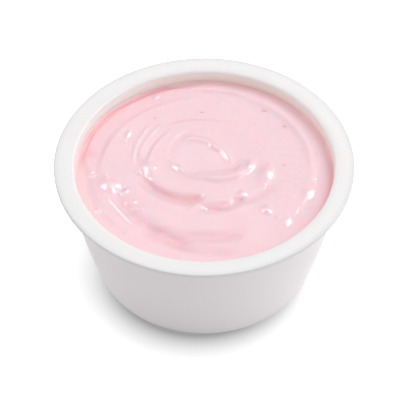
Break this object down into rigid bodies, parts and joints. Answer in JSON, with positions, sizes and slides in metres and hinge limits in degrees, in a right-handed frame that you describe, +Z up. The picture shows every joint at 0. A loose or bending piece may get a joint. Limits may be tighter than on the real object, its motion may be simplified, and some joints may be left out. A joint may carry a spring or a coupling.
{
  "type": "fromage frais pot",
  "caption": "Round white plastic pot with a broad flat flange, filled with pale pink fromage frais stirred into a soft spiral.",
  "frame": {"origin": "middle of the foot, on the surface that the pot stands on", "axes": "+Z up out of the pot's mouth, -Y the front that the picture is taken from, +X to the right in the picture"},
  "size_m": [0.0746, 0.0746, 0.0331],
  "materials": {
    "white_plastic": "smooth white moulded plastic with a soft satin sheen",
    "pink_fromage_frais": "wet, glossy, slightly translucent pale pink dairy surface with tiny darker fruit flecks"
  },
  "bodies": {
    "root": {"pot": "white_plastic", "fromage_frais": "pink_fromage_frais"}
  },
  "joints": []
}
